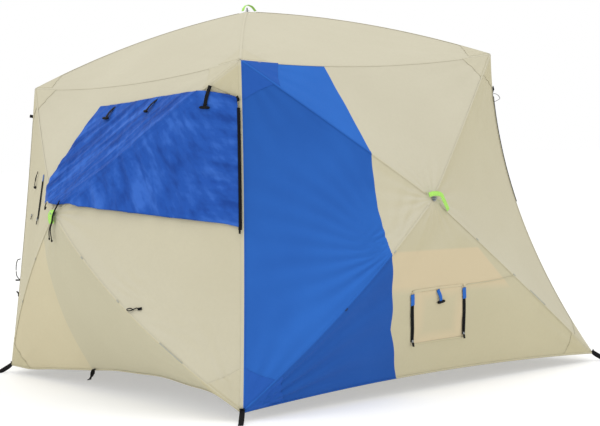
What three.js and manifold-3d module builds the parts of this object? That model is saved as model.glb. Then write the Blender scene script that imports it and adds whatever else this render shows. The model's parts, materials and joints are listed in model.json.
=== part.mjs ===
import * as THREE from "three";
import { mergeVertices } from "three/addons/utils/BufferGeometryUtils.js";
import Module from "manifold-3d";

const wasm = await Module();
wasm.setup();

// Driving dimensions, in millimetres. The front faces -Y, and left is -X.
const LIFT = 45; // hem corners above the ground
const HEM_CORNERS = {
  front_left: [-1168, -1227],
  front_right: [1312, -1325],
  back_right: [1190, 1190],
  back_left: [-1082, 1135],
};
const EAVE_CORNERS = {
  front_left: [-906, -976, 1697],
  front_right: [938, -944, 1740],
  back_right: [945, 945, 1700],
  back_left: [-947, 950, 1644],
};
const CORNER_PULL = {
  front_left: 100,
  front_right: 140,
  back_right: 80,
  back_left: 10,
};
const EAVE_SAG = 45;
const FABRIC = 3;
const SEAM_GAP = 2.5;
const HUB_HOLE = 14;
const POLE = { radius: 5.5, ferrule: 7.5, tip: 7, sides: 8, steps: 9, inset: 14, tipGap: 75 };
const HUB = { radius: 40, top: -26, thick: 24, pinRadius: 30, shaft: 4, washer: 13 };
const SLOT = { start: 15, width: 15 };
const TAPE = { width: 16, thick: 2.4, offset: 9, steps: 10 };
const LOOP = { width: 25, thick: 3, reach: 60, flat: 34, slot: [14, 13] };
const STRAP = { width: 25, thick: 2, rise: 3.4, slope: 0.2 };

// Faces: corners and bows run lower left, lower right, upper right, upper left, seen from outside.
const FACES = [
  { name: "front", left: "front_left", right: "front_right", hub: [-29, -1416, 963], arch: 45,
    bow: [100, 10, 10, 10], strapTurn: -0.5, strapHalf: 78 },
  { name: "right", left: "front_right", right: "back_right", hub: [1416, 0, 955], arch: 60,
    bow: [60, 60, 10, 10], strapTurn: 0.1, strapHalf: 66 },
  { name: "back", left: "back_right", right: "back_left", hub: [0, 1416, 955], arch: 60,
    bow: [60, 60, 10, 10], strapTurn: 0.1, strapHalf: 66 },
  { name: "left", left: "back_left", right: "front_left", hub: [-1416, 9, 947], arch: 100,
    bow: [45, 120, 10, 10], strapTurn: 1.05, strapHalf: 72 },
  { name: "roof", hub: [-50, 40, 2040], bow: [47, 47, 47, 47], strapTurn: -0.4, strapHalf: 62 },
];
const WALL_SIDES = ["hem", "right", "eave", "left"];
const ROOF_SIDES = ["front", "right", "back", "left"];
const WALL_POLES = ["lower_left", "lower_right", "upper_right", "upper_left"];
const ROOF_POLES = ["front_left", "front_right", "back_right", "back_left"];
const VENT = { from: 262, to: 545, lower: [-96, 266], upper: [-162, 228], cut: 8 };
const DOOR = { centre: 20, half: 380, springing: 420, cut: 8 };
const COVER_GAP = 3;
const COVER = 2;

const shelter = new THREE.Group();
const vec = (x, y, z) => new THREE.Vector3(x, y, z);
const UP = vec(0, 0, 1);

function cloth(color, roughness = 0.85) {
  return new THREE.MeshStandardMaterial({ color, roughness, metalness: 0, side: THREE.DoubleSide });
}
const MATERIALS = {
  fabric: cloth(0xdcd6c3),
  cover: cloth(0x2654aa, 0.6),
  green: cloth(0xaaeb6e, 0.6),
  webbing: cloth(0x17181a),
  pole: new THREE.MeshStandardMaterial({ color: 0x202226, roughness: 0.35 }),
  hub: new THREE.MeshStandardMaterial({ color: 0x2a2c30, roughness: 0.5 }),
  metal: new THREE.MeshStandardMaterial({ color: 0x8d9196, roughness: 0.35, metalness: 0.9 }),
};

// Solids: three.js geometry to manifold-3d and back.
function solid(geometry) {
  const bare = geometry.index ? geometry.toNonIndexed() : geometry.clone();
  bare.deleteAttribute("normal");
  bare.deleteAttribute("uv");
  const merged = mergeVertices(bare, 1e-4);
  return new wasm.Manifold(
    new wasm.Mesh({
      numProp: 3,
      vertProperties: merged.attributes.position.array,
      triVerts: new Uint32Array(merged.index.array),
    }),
  );
}

function geometryOf(manifold) {
  const mesh = manifold.getMesh();
  const geometry = new THREE.BufferGeometry();
  geometry.setAttribute("position", new THREE.BufferAttribute(mesh.vertProperties, 3));
  geometry.setIndex(new THREE.BufferAttribute(mesh.triVerts, 1));
  const flat = geometry.toNonIndexed();
  flat.computeVertexNormals();
  return flat;
}

function join(parts, cuts = []) {
  const whole = parts.map(solid).reduce((a, b) => a.add(b));
  return geometryOf(cuts.map(solid).reduce((a, b) => a.subtract(b), whole));
}

function add(name, geometry, material) {
  const mesh = new THREE.Mesh(geometry, material);
  mesh.name = name;
  shelter.add(mesh);
  return mesh;
}

function fromFaces(points, faces) {
  const geometry = new THREE.BufferGeometry().setFromPoints(points);
  geometry.setIndex(faces);
  const flat = geometry.toNonIndexed();
  flat.computeVertexNormals();
  return flat;
}

// A closed sheet: pointAt(u, v) is its middle surface, lifted by offset along its outward normal.
function sheet(pointAt, across, along, thickness, offset = 0) {
  const h = 1e-3;
  const layers = [[], []];
  for (let j = 0; j <= along; j++) {
    for (let i = 0; i <= across; i++) {
      const u = i / across;
      const v = j / along;
      const du = pointAt(u + h, v).sub(pointAt(u - h, v));
      const dv = pointAt(u, v + h).sub(pointAt(u, v - h));
      const normal = du.cross(dv).normalize();
      const middle = pointAt(u, v);
      layers[0].push(middle.clone().addScaledVector(normal, offset + thickness / 2));
      layers[1].push(middle.clone().addScaledVector(normal, offset - thickness / 2));
    }
  }
  const row = across + 1;
  const count = row * (along + 1);
  const faces = [];
  for (let j = 0; j < along; j++) {
    for (let i = 0; i < across; i++) {
      const a = j * row + i;
      faces.push(a, a + 1, a + row + 1, a, a + row + 1, a + row);
      const b = a + count;
      faces.push(b, b + row + 1, b + 1, b, b + row, b + row + 1);
    }
  }
  const rim = [];
  for (let i = 0; i < across; i++) rim.push(i);
  for (let j = 0; j < along; j++) rim.push(j * row + across);
  for (let i = across; i > 0; i--) rim.push(along * row + i);
  for (let j = along; j > 0; j--) rim.push(j * row);
  rim.forEach((a, k) => {
    const b = rim[(k + 1) % rim.length];
    faces.push(a, a + count, b + count, a, b + count, b);
  });
  return fromFaces(layers.flat(), faces);
}

// A closed bar through rings of points, each with the same count, capped at both ends.
function loft(rings) {
  const n = rings[0].length;
  const faces = [];
  for (let j = 0; j + 1 < rings.length; j++) {
    for (let i = 0; i < n; i++) {
      const a = j * n + i;
      const b = j * n + ((i + 1) % n);
      faces.push(a, b, b + n, a, b + n, a + n);
    }
  }
  const last = (rings.length - 1) * n;
  for (let i = 1; i + 1 < n; i++) {
    faces.push(0, i + 1, i);
    faces.push(last, last + i, last + i + 1);
  }
  return fromFaces(rings.flat(), faces);
}

function roundRing(centre, direction, radius, sides) {
  const turn = new THREE.Quaternion().setFromUnitVectors(UP, direction);
  return Array.from({ length: sides }, (_, i) => {
    const angle = (2 * Math.PI * i) / sides;
    const spoke = vec(Math.cos(angle), Math.sin(angle), 0).multiplyScalar(radius);
    return spoke.applyQuaternion(turn).add(centre);
  });
}

// A flat band's ring: side is across the band, outward is its upper face.
function bandRing(centre, side, outward, width, thick) {
  const corners = [[-1, -1], [1, -1], [1, 1], [-1, 1]];
  return corners.map(([a, b]) =>
    centre
      .clone()
      .addScaledVector(side, (a * width) / 2)
      .addScaledVector(outward, (b * thick) / 2),
  );
}

function band(points, outwards, width, thick) {
  const rings = points.map((p, i) => {
    const next = points[Math.min(i + 1, points.length - 1)];
    const before = points[Math.max(i - 1, 0)];
    const along = next.clone().sub(before).normalize();
    const side = outwards[i].clone().cross(along).normalize();
    const outward = along.clone().cross(side).normalize();
    return bandRing(p, side, outward, width, thick);
  });
  return loft(rings);
}

// Stance: corner and hub positions, edge curves and the outward normal of each face.
const hemCorner = (name) => vec(...HEM_CORNERS[name], LIFT);
const eaveCorner = (name) => vec(...EAVE_CORNERS[name]).add(vec(0, 0, LIFT));

function cornerPull(name) {
  const middle = hemCorner(name).add(eaveCorner(name)).setZ(0);
  return middle.normalize().multiplyScalar(-CORNER_PULL[name]);
}

function layout(face) {
  const roof = face.name === "roof";
  const sag = vec(0, 0, -EAVE_SAG);
  const corners = roof
    ? ROOF_POLES.map(eaveCorner)
    : [hemCorner(face.left), hemCorner(face.right), eaveCorner(face.right), eaveCorner(face.left)];
  const bends = roof
    ? [sag, sag, sag, sag]
    : [vec(0, 0, face.arch), cornerPull(face.right), sag, cornerPull(face.left)];
  const normal = corners[2].clone().sub(corners[0]);
  normal.cross(corners[3].clone().sub(corners[1])).normalize();
  const hub = vec(...face.hub).add(vec(0, 0, LIFT));
  return { ...face, roof, corners, bends, normal, hub };
}

function insetTriangle(p, q, h, gap) {
  const corner = (a, b, c) => {
    const toB = b.clone().sub(a).normalize();
    const toC = c.clone().sub(a).normalize();
    const reach = gap / Math.sin(toB.angleTo(toC));
    return a.clone().add(toB.add(toC).multiplyScalar(reach));
  };
  return [corner(p, q, h), corner(q, h, p), corner(h, p, q)];
}

function gorePoint(face, side) {
  const next = (side + 1) % 4;
  const [p, q, h] = insetTriangle(face.corners[side], face.corners[next], face.hub, SEAM_GAP);
  const bowP = face.normal.clone().multiplyScalar(face.bow[side]);
  const bowQ = face.normal.clone().multiplyScalar(face.bow[next]);
  const pointAt = (s, t) => {
    const point = p.clone().lerp(q, s).lerp(h, t);
    point.addScaledVector(face.bends[side], 4 * s * (1 - s) * (1 - t));
    point.addScaledVector(bowP.clone().lerp(bowQ, s), 4 * t * (1 - t));
    return point;
  };
  const height = h.clone().sub(p).cross(q.clone().sub(p)).length() / q.distanceTo(p);
  return { pointAt, last: 1 - HUB_HOLE / height };
}

function goreSheet(face, side, across = 6, along = 6) {
  const { pointAt, last } = gorePoint(face, side);
  return sheet((u, v) => pointAt(u, v * last), across, along, FABRIC);
}

// A straight prism through a wall: outline is in the wall's level direction and world height.
function wallPrism(face, outline, reach = 260) {
  const shape = new THREE.Shape(outline.map(([x, z]) => new THREE.Vector2(x, z)));
  const prism = new THREE.ExtrudeGeometry(shape, { depth: 2 * reach, bevelEnabled: false });
  prism.translate(0, 0, -reach);
  const out = face.normal.clone().setZ(0).normalize();
  const level = UP.clone().cross(out);
  const frame = new THREE.Matrix4().makeBasis(level, UP, out);
  prism.applyMatrix4(frame);
  prism.translate(face.hub.x, face.hub.y, 0);
  return prism;
}

function ventOutline(grow) {
  const { from, to, lower, upper } = VENT;
  return [
    [lower[0] - grow, from - grow],
    [lower[1] + grow, from - grow],
    [upper[1] + grow, to + grow],
    [upper[0] - grow, to + grow],
  ];
}

function doorOutline(grow) {
  const side = DOOR.half + grow;
  const outline = [[DOOR.centre - side, -50], [DOOR.centre + side, -50]];
  for (let i = 0; i <= 8; i++) {
    const angle = (Math.PI * i) / 8;
    outline.push([
      DOOR.centre + side * Math.cos(angle),
      DOOR.springing + (side - 60) * Math.sin(angle),
    ]);
  }
  return outline;
}

function addCutGore(face, side, name, outlineOf, cut, flapName) {
  const whole = solid(goreSheet(face, side, 8, 8));
  const hole = solid(wallPrism(face, outlineOf(cut / 2)));
  const flap = solid(wallPrism(face, outlineOf(-cut / 2)));
  add(name, geometryOf(whole.subtract(hole)), MATERIALS.fabric);
  add(flapName, geometryOf(whole.intersect(flap)), MATERIALS.fabric);
}

function addGores(face) {
  for (let side = 0; side < 4; side++) {
    const place = face.roof ? ROOF_SIDES[side] : WALL_SIDES[side];
    const name = `${face.name}_gore_${place}`;
    if (name === "front_gore_hem") addCutGore(face, side, name, ventOutline, VENT.cut, "vent_flap");
    else if (name === "back_gore_hem") addCutGore(face, side, name, doorOutline, DOOR.cut, "door_flap");
    else add(name, goreSheet(face, side), MATERIALS.fabric);
  }
}

// Poles: from the hub's pin to a little short of the corner, inside the crease they hold up.
function lateral(face, corner) {
  return corner.clone().sub(face.hub).projectOnPlane(face.normal).normalize();
}

function poleRadius(k) {
  const { radius, ferrule, tip, steps } = POLE;
  if (k === Math.floor(steps / 2) || k === Math.floor(steps / 2) + 1) return ferrule;
  return k === steps ? tip : radius;
}

function addPole(face, index) {
  const corner = face.corners[index];
  const reach = corner.distanceTo(face.hub);
  const end = corner.clone().lerp(face.hub, POLE.tipGap / reach);
  end.addScaledVector(face.normal, -POLE.inset);
  const start = face.hub.clone().addScaledVector(face.normal, HUB.top - HUB.thick / 2);
  start.addScaledVector(lateral(face, corner), HUB.pinRadius - 6);
  const at = (k) => {
    const w = k / POLE.steps;
    const point = start.clone().lerp(end, w);
    return point.addScaledVector(face.normal, face.bow[index] * 4 * w * (1 - w));
  };
  const rings = [];
  for (let k = 0; k <= POLE.steps; k++) {
    const along = at(Math.min(k + 0.5, POLE.steps)).sub(at(Math.max(k - 0.5, 0))).normalize();
    rings.push(roundRing(at(k), along, poleRadius(k), POLE.sides));
  }
  const place = face.roof ? ROOF_POLES[index] : WALL_POLES[index];
  add(`${face.name}_pole_${place}`, loft(rings), MATERIALS.pole);
}

// Hubs: a slotted disc inside, a bolt through the fabric, and a washer and eye outside.
function hubTurn(face) {
  const out = face.normal;
  const level = face.roof ? vec(1, 0, 0).projectOnPlane(out).normalize() : UP.clone().cross(out).normalize();
  return new THREE.Matrix4().makeBasis(level, out.clone().cross(level), out);
}

function cylinder(radius, from, to, sides = 24) {
  const shape = new THREE.CylinderGeometry(radius, radius, to - from, sides);
  return shape.rotateX(Math.PI / 2).translate(0, 0, (from + to) / 2);
}

function addHub(face) {
  const turn = hubTurn(face);
  const inverse = turn.clone().invert();
  const slots = face.corners.map((corner) => {
    const way = lateral(face, corner).transformDirection(inverse);
    const slot = new THREE.BoxGeometry(HUB.radius * 2, SLOT.width, HUB.thick * 2);
    slot.translate(SLOT.start + HUB.radius, 0, HUB.top - HUB.thick / 2);
    return slot.rotateZ(Math.atan2(way.y, way.x));
  });
  const body = geometryOf(
    slots.map(solid).reduce((a, b) => a.subtract(b), solid(cylinder(HUB.radius, HUB.top - HUB.thick, HUB.top, 32))),
  );
  const eye = new THREE.TorusGeometry(8, 2.4, 8, 16).rotateX(Math.PI / 2);
  eye.rotateZ(face.strapTurn + Math.PI / 2).translate(0, 0, 15.5);
  const hub = join([body, cylinder(HUB.shaft, HUB.top - 2, 6, 16), cylinder(HUB.washer, 5, 7), eye]);
  const mesh = add(`${face.name}_hub`, hub, MATERIALS.hub);
  mesh.position.copy(face.hub);
  mesh.quaternion.setFromRotationMatrix(turn);
}

function addPullStrap(face) {
  const stations = [-1, -0.55, -0.16, 0, 0.16, 0.55, 1].map((k) => k * face.strapHalf);
  const points = stations.map((x) => {
    const fall = Math.max(Math.abs(x) - 12, 0) * STRAP.slope;
    return vec(x, 0, STRAP.rise - fall);
  });
  const strap = join(
    [band(points, points.map(() => UP), STRAP.width, STRAP.thick)],
    [cylinder(HUB.shaft + 1, -20, 20, 12)],
  );
  const mesh = add(`${face.name}_pull_strap`, strap.rotateZ(face.strapTurn), MATERIALS.green);
  mesh.position.copy(face.hub);
  mesh.quaternion.setFromRotationMatrix(hubTurn(face));
}

// Corner tapes: a binding up each corner seam that ends in a webbing stake loop on the ground.
function addCornerTape(name) {
  const low = hemCorner(name);
  const high = eaveCorner(name);
  const pull = cornerPull(name);
  const out = low.clone().setZ(0).normalize();
  const points = [];
  for (let k = 0; k <= TAPE.steps; k++) {
    const s = k / TAPE.steps;
    const point = low.clone().lerp(high, s).addScaledVector(pull, 4 * s * (1 - s));
    points.push(point.addScaledVector(out, TAPE.offset + TAPE.thick / 2));
  }
  const tape = band(points, points.map(() => out), TAPE.width, TAPE.thick);
  const foot = points[0].clone();
  const flatZ = LOOP.thick / 2;
  const loopPoints = [
    foot.clone().add(vec(0, 0, 22)),
    foot.clone(),
    foot.clone().addScaledVector(out, LOOP.reach * 0.45).setZ(LIFT * 0.3),
    foot.clone().addScaledVector(out, LOOP.reach).setZ(flatZ),
    foot.clone().addScaledVector(out, LOOP.reach + LOOP.flat).setZ(flatZ),
  ];
  const loop = flatBand(loopPoints, out, LOOP.width, LOOP.thick);
  const slot = new THREE.BoxGeometry(...LOOP.slot, 40);
  slot.rotateZ(Math.atan2(out.y, out.x));
  const middle = foot.clone().addScaledVector(out, LOOP.reach + LOOP.flat * 0.3);
  slot.translate(middle.x, middle.y, 0);
  add(`corner_tape_${name}`, join([tape, loop], [slot]), MATERIALS.webbing);
}

// A band whose rings stand square to its path; the last stretch lies flat on the ground.
function flatBand(points, out, width, thick) {
  const side = UP.clone().cross(out).normalize();
  const rings = points.map((p, i) => {
    const last = points.length - 1;
    const next = points[Math.min(i + 1, last)];
    const before = points[Math.max(i - 1, 0)];
    const along = next.clone().sub(before).normalize();
    const level = i >= last - 1;
    const upper = level ? UP.clone() : along.clone().cross(side).normalize();
    return bandRing(p, side, upper, width, thick);
  });
  return loft(rings);
}

// The window's cover: two sheets over the left wall's eave gore and front side gore.
function addCover(face, side, name, near, far, left, right) {
  const { pointAt } = gorePoint(face, side);
  const corner = (u, v) => {
    const low = near[0] + (near[1] - near[0]) * u;
    const high = far[0] + (far[1] - far[0]) * u;
    const from = left[0] + (left[1] - left[0]) * v;
    const to = right[0] + (right[1] - right[0]) * v;
    return pointAt(from + (to - from) * u, low + (high - low) * v);
  };
  add(name, sheet(corner, 6, 6, COVER, FABRIC / 2 + COVER_GAP + COVER / 2), MATERIALS.cover);
}

function slider(face, side, s, t, name) {
  const { pointAt } = gorePoint(face, side);
  const h = 1e-3;
  const place = pointAt(s, t);
  const along = pointAt(s + h, t).sub(pointAt(s - h, t)).normalize();
  const inward = pointAt(s, t + h).sub(pointAt(s, t - h));
  const out = along.clone().cross(inward).normalize();
  const across = out.clone().cross(along);
  const body = new THREE.BoxGeometry(14, 10, 4).translate(0, 0, 2);
  const tab = new THREE.BoxGeometry(26, 7, 2).translate(-17, 0, 3.6);
  const mesh = add(name, join([body, tab]), MATERIALS.metal);
  mesh.position.copy(place.addScaledVector(out, FABRIC / 2 + 1.2));
  mesh.quaternion.setFromRotationMatrix(new THREE.Matrix4().makeBasis(along, across, out));
}

const faces = FACES.map(layout);
for (const face of faces) {
  addGores(face);
  for (let index = 0; index < 4; index++) addPole(face, index);
  addHub(face);
  addPullStrap(face);
}
Object.keys(HEM_CORNERS).forEach(addCornerTape);

const left = faces.find((face) => face.name === "left");
const back = faces.find((face) => face.name === "back");
addCover(left, 2, "window_cover_eave", [0.14, 0.17], [0.9, 0.9], [0.05, 0.1], [0.57, 0.85]);
addCover(left, 1, "window_cover_side", [0.05, 0.06], [0.88, 0.88], [0.5, 0.72], [0.96, 0.92]);
slider(left, 1, 0.507, 0.022, "window_zip_slider");
slider(back, 1, 0.3, 0.05, "door_zip_slider");

export default shelter;
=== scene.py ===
"""A pop-up hub shelter for ice fishing: cloth walls held out by poles and hubs, dressed over the CAD frame."""

import json
import math

import bpy
from mathutils import Matrix, Vector, noise


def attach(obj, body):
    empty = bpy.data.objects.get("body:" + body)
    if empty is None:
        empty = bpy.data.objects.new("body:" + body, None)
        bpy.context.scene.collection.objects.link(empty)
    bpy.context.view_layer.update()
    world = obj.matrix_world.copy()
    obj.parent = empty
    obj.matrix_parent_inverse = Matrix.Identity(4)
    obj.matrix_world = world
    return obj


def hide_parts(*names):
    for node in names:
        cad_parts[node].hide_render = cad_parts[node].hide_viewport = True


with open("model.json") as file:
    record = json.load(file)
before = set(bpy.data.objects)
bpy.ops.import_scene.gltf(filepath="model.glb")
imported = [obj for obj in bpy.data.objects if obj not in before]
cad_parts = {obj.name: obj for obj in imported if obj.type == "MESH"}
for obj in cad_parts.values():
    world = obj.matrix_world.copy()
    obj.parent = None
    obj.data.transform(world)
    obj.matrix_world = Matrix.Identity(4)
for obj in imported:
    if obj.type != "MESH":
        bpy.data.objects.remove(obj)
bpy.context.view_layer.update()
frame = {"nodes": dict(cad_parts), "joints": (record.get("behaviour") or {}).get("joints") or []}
JOINTS = {joint["name"]: joint for joint in frame["joints"]}
UP = Vector((0, 0, 1))

# ---------- Driving dimensions, in metres, as in the CAD model ----------
SIDES = ("hem", "right", "eave", "left")
ROOF_SIDES = ("front", "right", "back", "left")
POLES = ("lower_left", "lower_right", "upper_right", "upper_left")
ROOF_POLES = ("front_left", "front_right", "back_right", "back_left")
WALLS = {
    "front": ("front_left", "front_right"),
    "right": ("front_right", "back_right"),
    "back": ("back_right", "back_left"),
    "left": ("back_left", "front_left"),
}
CORNER_PULL = {"front_left": 0.100, "front_right": 0.140, "back_right": 0.080, "back_left": 0.010}
EAVE_SAG = 0.045
HEM_ARCH = {"front": 0.045, "right": 0.060, "back": 0.060, "left": 0.100}
BOW = {
    "front": (0.100, 0.010, 0.010, 0.010),
    "right": (0.060, 0.060, 0.010, 0.010),
    "back": (0.060, 0.060, 0.010, 0.010),
    "left": (0.045, 0.120, 0.010, 0.010),
    "roof": (0.047, 0.047, 0.047, 0.047),
}
PIN_DEPTH = 0.038
PIN_RADIUS = 0.030
POLE_SHORT = 0.075
CLOTH = 0.0024
WEBBING = 0.0022


# ---------- Materials ----------
def nodes_of(name, colour, roughness=0.8, metallic=0.0, specular=0.5):
    material = bpy.data.materials.new(name)
    material.use_nodes = True
    tree = material.node_tree
    shader = tree.nodes["Principled BSDF"]
    shader.inputs["Base Color"].default_value = (*colour, 1)
    shader.inputs["Roughness"].default_value = roughness
    shader.inputs["Metallic"].default_value = metallic
    shader.inputs["Specular IOR Level"].default_value = specular
    return material, tree, shader


def paint(tree, shader, colour):
    tree.links.new(colour, shader.inputs["Base Color"])


def darker(colour, share):
    return tuple(c * share for c in colour)


def add_node(tree, kind, inputs, output, **settings):
    """A new node, of which each input is a number, a colour or another node's output."""
    node = tree.nodes.new("ShaderNode" + kind)
    for key, value in settings.items():
        setattr(node, key, value)
    for key, value in inputs.items():
        if isinstance(value, bpy.types.NodeSocket):
            tree.links.new(value, node.inputs[key])
        else:
            node.inputs[key].default_value = (*value, 1) if isinstance(value, tuple) else value
    return node.outputs[output]


def coordinates(tree):
    return add_node(tree, "TexCoord", {}, "Object")


def noise_node(tree, vector, scale, detail=3.0):
    return add_node(tree, "TexNoise", {"Vector": vector, "Scale": scale, "Detail": detail}, "Fac")


def wave_node(tree, vector, scale, way):
    settings = {"wave_type": "BANDS", "bands_direction": way}
    return add_node(tree, "TexWave", {"Vector": vector, "Scale": scale}, "Fac", **settings)


def math_node(tree, operation, first, second):
    return add_node(tree, "Math", {0: first, 1: second}, 0, operation=operation)


def mix_colour(tree, factor, first, second, blend="MIX"):
    inputs = {"Factor": factor, 6: first, 7: second}
    return add_node(tree, "Mix", inputs, 2, data_type="RGBA", blend_type=blend)


def ramp(tree, factor, low, high, start=0.0, end=1.0):
    inputs = {"Value": factor, "From Min": low, "From Max": high, "To Min": start, "To Max": end}
    return add_node(tree, "MapRange", inputs, "Result")


def add_bump(tree, shader, layers):
    """layers: (height socket, distance in metres, strength), the first one underneath."""
    below = {}
    for height, distance, strength in layers:
        inputs = {"Height": height, "Distance": distance, "Strength": strength, **below}
        below = {"Normal": add_node(tree, "Bump", inputs, "Normal")}
    tree.links.new(below["Normal"], shader.inputs["Normal"])


def weave_height(tree, vector, threads):
    warp = wave_node(tree, vector, threads, "DIAGONAL")
    weft = wave_node(tree, vector, threads * 1.03, "Z")
    return math_node(tree, "MULTIPLY", warp, weft)


def painted_shade_facing_down(tree, base, shade=(0.985, 0.960, 0.845)):
    """Painted shade: cloth that leans down is multiplied by a tint; the default tint turns it a little yellower,
    painted as light bounced off warm cloth and ground.
    """
    geometry = tree.nodes.new("ShaderNodeNewGeometry")
    split = tree.nodes.new("ShaderNodeSeparateXYZ")
    tree.links.new(geometry.outputs["Normal"], split.inputs[0])
    return mix_colour(tree, ramp(tree, split.outputs["Z"], 0.55, -0.15), base, shade, "MULTIPLY")


def cloth_material(name, colour, tint, roughness=0.82, threads=260, crumple=0.35, paint_facing_down=True):
    material, tree, shader = nodes_of(name, colour, roughness, specular=0.15)
    vector = coordinates(tree)
    broad = noise_node(tree, vector, 2.2, 4)
    fine = noise_node(tree, vector, 60, 2)
    base = mix_colour(tree, ramp(tree, broad, 0.3, 0.7), colour, tint)
    base = mix_colour(tree, ramp(tree, fine, 0.2, 2.2), base, darker(colour, 0.9))
    if paint_facing_down:
        base = painted_shade_facing_down(tree, base)
    paint(tree, shader, base)
    tree.links.new(ramp(tree, fine, 0.2, 0.8, roughness - 0.05, roughness + 0.05), shader.inputs["Roughness"])
    soft = noise_node(tree, vector, 9, 3)
    add_bump(tree, shader, [(soft, 0.004, crumple), (weave_height(tree, vector, threads), 0.0003, 0.5)])
    return material, tree, shader, base


def webbing_material(name, colour, roughness=0.75):
    material, tree, shader = nodes_of(name, colour, roughness, specular=0.2)
    vector = coordinates(tree)
    rib = wave_node(tree, vector, 420, "DIAGONAL")
    worn = noise_node(tree, vector, 90, 2)
    paint(tree, shader, mix_colour(tree, rib, darker(colour, 0.72), colour))
    tree.links.new(ramp(tree, worn, 0.3, 0.7, roughness - 0.08, roughness + 0.08), shader.inputs["Roughness"])
    add_bump(tree, shader, [(rib, 0.0006, 0.8)])
    return material


def hard_material(name, colour, roughness, metallic=0.0, grain=0.2, scale=180, specular=0.5):
    material, tree, shader = nodes_of(name, colour, roughness, metallic, specular)
    vector = coordinates(tree)
    speck = noise_node(tree, vector, scale, 3)
    paint(tree, shader, mix_colour(tree, ramp(tree, speck, 0.3, 0.8), darker(colour, 0.85), colour))
    tree.links.new(ramp(tree, speck, 0.2, 0.8, roughness - 0.06, roughness + 0.10), shader.inputs["Roughness"])
    add_bump(tree, shader, [(speck, 0.0004, grain)])
    return material


CREAM = (0.558, 0.525, 0.405)
CREAM_TINT = (0.534, 0.500, 0.382)
# A warm tint that paints light shining through the thin cloth.
THROUGH_LIGHT_TINT = (0.606, 0.512, 0.340)
BLUE = (0.025, 0.138, 0.512)
BLUE_TINT = (0.022, 0.122, 0.468)
COVER_BLUE = (0.013, 0.080, 0.388)

# The blue corner panel's free edge on the front wall: (x, z), from hem to eave.
PANEL_EDGE = ((-0.190, 0.08), (-0.305, 0.36), (-0.357, 0.745), (-0.323, 1.246), (-0.355, 1.72))
# A band of painted light above the vent, where light shining through the thin cloth is painted warmer: its corners
# in (x, z).
LIT_BAND = {"top": ((-0.307, 0.757), (0.306, 0.736)), "right": ((0.306, 0.736), (0.543, 0.522)),
        "foot": ((-0.280, 0.556), (0.560, 0.512))}
VENT_MIDDLE = (0.030, 0.405)


def axes_of(tree):
    split = tree.nodes.new("ShaderNodeSeparateXYZ")
    tree.links.new(coordinates(tree), split.inputs[0])
    return split.outputs


def blue_mask(tree, mirror):
    """1 on the panel's side of its edge: chained straight stretches between the edge's points."""
    x, _, z = axes_of(tree)
    edge = None
    for (x0, z0), (x1, z1) in zip(PANEL_EDGE, PANEL_EDGE[1:]):
        stretch = ramp(tree, z, z0, z1, 0.0, (x1 - x0) * mirror)
        edge = stretch if edge is None else math_node(tree, "ADD", edge, stretch)
    edge = math_node(tree, "ADD", edge, PANEL_EDGE[0][0] * mirror)
    gap = math_node(tree, "SUBTRACT", edge, x) if mirror > 0 else math_node(tree, "SUBTRACT", x, edge)
    return ramp(tree, gap, -0.0008, 0.0008)


def beside_line(tree, x, z, line, softness):
    """1 on the left of a line from its first to its second (x, z) point, seen from the front."""
    (x0, z0), (x1, z1) = line
    length = math.hypot(x1 - x0, z1 - z0)
    a, b = -(z1 - z0) / length, (x1 - x0) / length
    across = math_node(tree, "ADD", math_node(tree, "MULTIPLY", x, a), math_node(tree, "MULTIPLY", z, b))
    return ramp(tree, math_node(tree, "SUBTRACT", across, a * x0 + b * z0), -softness, softness)


def lit_band_mask(tree):
    x, _, z = axes_of(tree)
    below = [beside_line(tree, x, z, line[::-1], 0.006) for line in (LIT_BAND["top"], LIT_BAND["right"])]
    above = beside_line(tree, x, z, LIT_BAND["foot"], 0.022)
    return math_node(tree, "MULTIPLY", math_node(tree, "MULTIPLY", *below), above)


def add_blue_panel(tree, shader, base, mirror):
    if mirror > 0:
        # Painted light: the band above the vent takes the warm tint of light shining through the cloth.
        base = mix_colour(tree, lit_band_mask(tree), base, THROUGH_LIGHT_TINT)
    broad = noise_node(tree, coordinates(tree), 3.0, 4)
    blue = mix_colour(tree, ramp(tree, broad, 0.3, 0.7), BLUE, BLUE_TINT)
    # Painted shade: the blue is painted darker where the cloth leans down.
    blue = painted_shade_facing_down(tree, blue, (0.68, 0.68, 0.74))
    both = mix_colour(tree, blue_mask(tree, mirror), base, blue)
    paint(tree, shader, both)


def add_vent_through_light(tree, shader, base):
    """Painted light: the vent flap's borders are painted in the warm tint of light shining through the thin cloth;
    its middle mostly keeps the cloth's own colour.
    """
    x, _, z = axes_of(tree)
    aside = math_node(tree, "ABSOLUTE", math_node(tree, "SUBTRACT", x, VENT_MIDDLE[0]), 0)
    drop = math_node(tree, "ABSOLUTE", math_node(tree, "SUBTRACT", z, VENT_MIDDLE[1]), 0)
    reach = math_node(tree, "MAXIMUM", aside, math_node(tree, "MULTIPLY", drop, 1.25))
    middle = ramp(tree, reach, 0.155, 0.095, 0.0, 0.8)
    paint(tree, shader, mix_colour(tree, middle, THROUGH_LIGHT_TINT, base))


# Painted light on the left wall's foot: where it changes along Y, and the tints that it multiplies the cloth by
# before and behind that edge.
THROUGH_LIGHT_EDGE = 0.170
THROUGH_LIGHT_SHADES = (0.957, 0.977, 1.033), (1.068, 1.048, 1.050)


def add_foot_through_light(tree, shader, base):
    """The left wall's foot: painted light showing through the thin cloth, cooler in front of the edge and painted
    brighter and warmer behind it.
    """
    _, y, _ = axes_of(tree)
    shade = mix_colour(tree, ramp(tree, y, THROUGH_LIGHT_EDGE - 0.003, THROUGH_LIGHT_EDGE + 0.003), *THROUGH_LIGHT_SHADES)
    paint(tree, shader, mix_colour(tree, 1.0, base, shade, "MULTIPLY"))


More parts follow.
